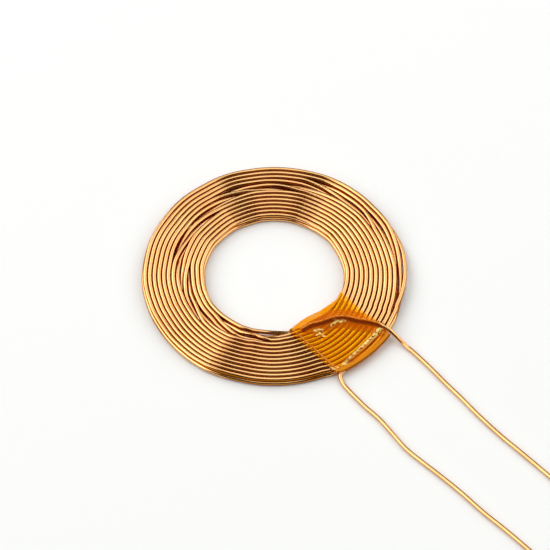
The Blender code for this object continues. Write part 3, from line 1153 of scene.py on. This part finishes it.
# White creases with painted highlights and glints, broken up by flecks
crease_and_highlight = mark_on(tree, "crease_and_highlight_mark")
loose = mark_on(tree, "loose_mark")
pale_and_highlight = reckon(tree, "MULTIPLY", crease_and_highlight, stretch(tree, grain(tree, FLECK_SCALE, 2.0), 0.38, 0.47))
between_flecks = reckon(tree, "SUBTRACT", crease_and_highlight, pale_and_highlight)
# Painted shade: the shade mark, and the places between the white flecks
painted_shade = reckon(tree, "MAXIMUM", mark_on(tree, "shade_mark"), between_flecks)
plain = blend_colours(tree, loose, AMBER_TIGHT, AMBER_BODY)
creased_and_lit = blend_colours(tree, pale_and_highlight, plain, AMBER_CREASE_HIGHLIGHT)
feed(tree, shader.inputs["Base Color"], blend_colours(tree, painted_shade, creased_and_lit, AMBER_SHADE))
shader.inputs["Roughness"].default_value = 0.22
shader.inputs["Specular IOR Level"].default_value = 0.15
print("film material nodes so far", len(tree.nodes))

# %% [markdown]
# ## Dents and clearness
#
# Tiny dents keep the film's shine from being perfect. Then the two shaders are mixed: clear film
# shows almost only what lies below, a white crease shows almost none of it, and loose film is in
# between.

# %% The film's shine and clearness
DENT_SCALE = 1500.0
CLEAR_SHARE = 0.02
CREASE_SHARE = 0.95
LOOSE_SHARE = 0.75

dent = tree.nodes.new("ShaderNodeBump")
dent.inputs["Strength"].default_value = 0.025
dent.inputs["Distance"].default_value = 0.00003
feed(tree, dent.inputs["Height"], grain(tree, DENT_SCALE, 2.0))
feed(tree, shader.inputs["Normal"], dent.outputs["Normal"])
through = tree.nodes.new("ShaderNodeBsdfTransparent")
# Painted shade also darkens the light that passes the film
feed(tree, through.inputs["Color"], blend_colours(tree, painted_shade, AMBER_THROUGH, AMBER_SHADE_THROUGH))
clouded = stretch(tree, pale_and_highlight, 0.0, 0.6, CLEAR_SHARE, CREASE_SHARE)
hazy = reckon(tree, "MULTIPLY", loose, LOOSE_SHARE)
mixed = tree.nodes.new("ShaderNodeMixShader")
feed(tree, mixed.inputs["Fac"], reckon(tree, "MAXIMUM", clouded, hazy))
feed(tree, mixed.inputs[1], through.outputs["BSDF"])
feed(tree, mixed.inputs[2], shader.outputs["BSDF"])
feed(tree, tree.nodes["Material Output"].inputs["Surface"], mixed.outputs["Shader"])
print("film material nodes", len(tree.nodes))

# %% [markdown]
# ## From a grid of points to a film
#
# The grid becomes a sheet of quads, and a Solidify modifier gives it its thickness on both sides. The
# marks are stored on the points first, so that the modifier carries them over to both faces.

# %% Film mesh
FOLD_SHARPNESS = 50.0


def sheet_mesh(name, points, marks, thickness, surface):
    """A sheet with a thickness, from a grid of points, that keeps its marks in attributes."""
    rows, columns = points.shape[:2]
    corner = np.arange(rows * columns).reshape(rows, columns)
    quads = np.stack([corner[:-1, :-1], corner[:-1, 1:], corner[1:, 1:], corner[1:, :-1]], axis=-1)
    mesh = bpy.data.meshes.new(name)
    mesh.from_pydata(points.reshape(-1, 3).tolist(), [], quads.reshape(-1, 4).tolist())
    for label, values in marks.items():
        kept = mesh.attributes.new(label, "FLOAT", "POINT")
        kept.data.foreach_set("value", values.reshape(-1).astype(np.float32))
    mesh.materials.append(surface)
    made = bpy.data.objects.new(name, mesh)
    bpy.context.scene.collection.objects.link(made)
    thicken = made.modifiers.new("thickness", "SOLIDIFY")
    thicken.thickness = thickness
    thicken.offset = 0.0
    depsgraph = bpy.context.evaluated_depsgraph_get()
    solid = bpy.data.meshes.new_from_object(made.evaluated_get(depsgraph), depsgraph=depsgraph)
    made.modifiers.clear()
    made.data = solid
    bpy.data.meshes.remove(mesh)
    solid.name = name
    solid.shade_smooth()
    solid.set_sharp_from_angle(angle=radians(FOLD_SHARPNESS))
    return made


film_marks = {"crease_and_highlight_mark": film_creases_and_highlights, "shade_mark": film_shades, "loose_mark": film_loose}
film = sheet_mesh("amber_film_strip", film_points, film_marks, FILM_T, amber)
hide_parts("film_strip")
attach(film, "root")
print("film", len(film.data.polygons), "faces")

# %% [markdown]
# ## The floor
#
# The photograph shows a white table without an edge. A large flat sheet does the same. Its colour is
# just below white, so that the coil's soft shadow still shows on it.

# %% Floor
FLOOR_REACH = 2.0
FLOOR_WHITE = (0.936, 0.943, 0.927, 1.0)

floor_mesh = bpy.data.meshes.new("floor")
sheet = bmesh.new()
bmesh.ops.create_grid(sheet, x_segments=1, y_segments=1, size=FLOOR_REACH)
sheet.to_mesh(floor_mesh)
sheet.free()
floor = bpy.data.objects.new("floor", floor_mesh)
bpy.context.scene.collection.objects.link(floor)
white, tree, shader = new_material("white_table")
shader.inputs["Base Color"].default_value = FLOOR_WHITE
shader.inputs["Roughness"].default_value = 0.8
shader.inputs["Specular IOR Level"].default_value = 0.2
floor_mesh.materials.append(white)
floor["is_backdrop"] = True
print("floor reaches", FLOOR_REACH, "m each way")

# %% [markdown]
# ## The light
#
# A round wire mirrors a lamp as a thin bright line along its top. The coil in the photograph is
# bright at its left and right, so there are two large soft boxes, the left one stronger. The turns
# at its top and bottom, which run across the picture, look dark with a fine light line on each. A
# long narrow box above, between the two large ones, gives that line. It stands a little behind the
# coil, where the turns mirror it towards the camera.

# %% Lights
WALL_SIZE = (1.6, 1.25)
WALL_AWAY = 0.55
WALL_CENTRE = (0.0, 0.30, 0.80)
STRIP_SIZE = (0.40, 1.46)
STRIP_CENTRE = (0.0, 0.172, 0.883)
ROOM_GLOW = 0.025


def soft_box(name, centre, size, power, looks_at=(0.0, 0.0, 0.0)):
    """A large area light; its first size lies level, its second one upright."""
    data = bpy.data.lights.new(name, "AREA")
    data.shape = "RECTANGLE"
    data.size = size[0]
    data.size_y = size[1]
    data.energy = power
    light = bpy.data.objects.new(name, data)
    light.location = centre
    aim_at = Vector(looks_at) - light.location
    light.rotation_euler = aim_at.to_track_quat("-Z", "Y").to_euler()
    bpy.context.scene.collection.objects.link(light)
    return light


for name, side, power in (("soft_box_left", -WALL_AWAY, 14.3), ("soft_box_right", WALL_AWAY, 9.5)):
    soft_box(name, (side, *WALL_CENTRE[1:]), WALL_SIZE, power, WALL_CENTRE)
soft_box("strip_box_above", STRIP_CENTRE, STRIP_SIZE, 2.3)
world = bpy.data.worlds.new("room")
bpy.context.scene.world = world
world.use_nodes = True
world.node_tree.nodes["Background"].inputs["Color"].default_value = (1.0, 1.0, 1.0, 1.0)
world.node_tree.nodes["Background"].inputs["Strength"].default_value = ROOM_GLOW
bpy.context.scene.view_settings.view_transform = "Standard"
print("lamps", len(bpy.data.lights))

# %% [markdown]
# ## The finished model's size
#
# Looks mustn't change the size of a part. The box of the CAD model and the box of the finished
# pieces are written down side by side, to be compared.

# %% Sizes of the finished model
visual_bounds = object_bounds()
for label, corners in (("CAD", cad_bounds), ("finished", visual_bounds)):
    print(label, "model measures", [round((b - a) * 1000, 2) for a, b in zip(*corners)], "mm")
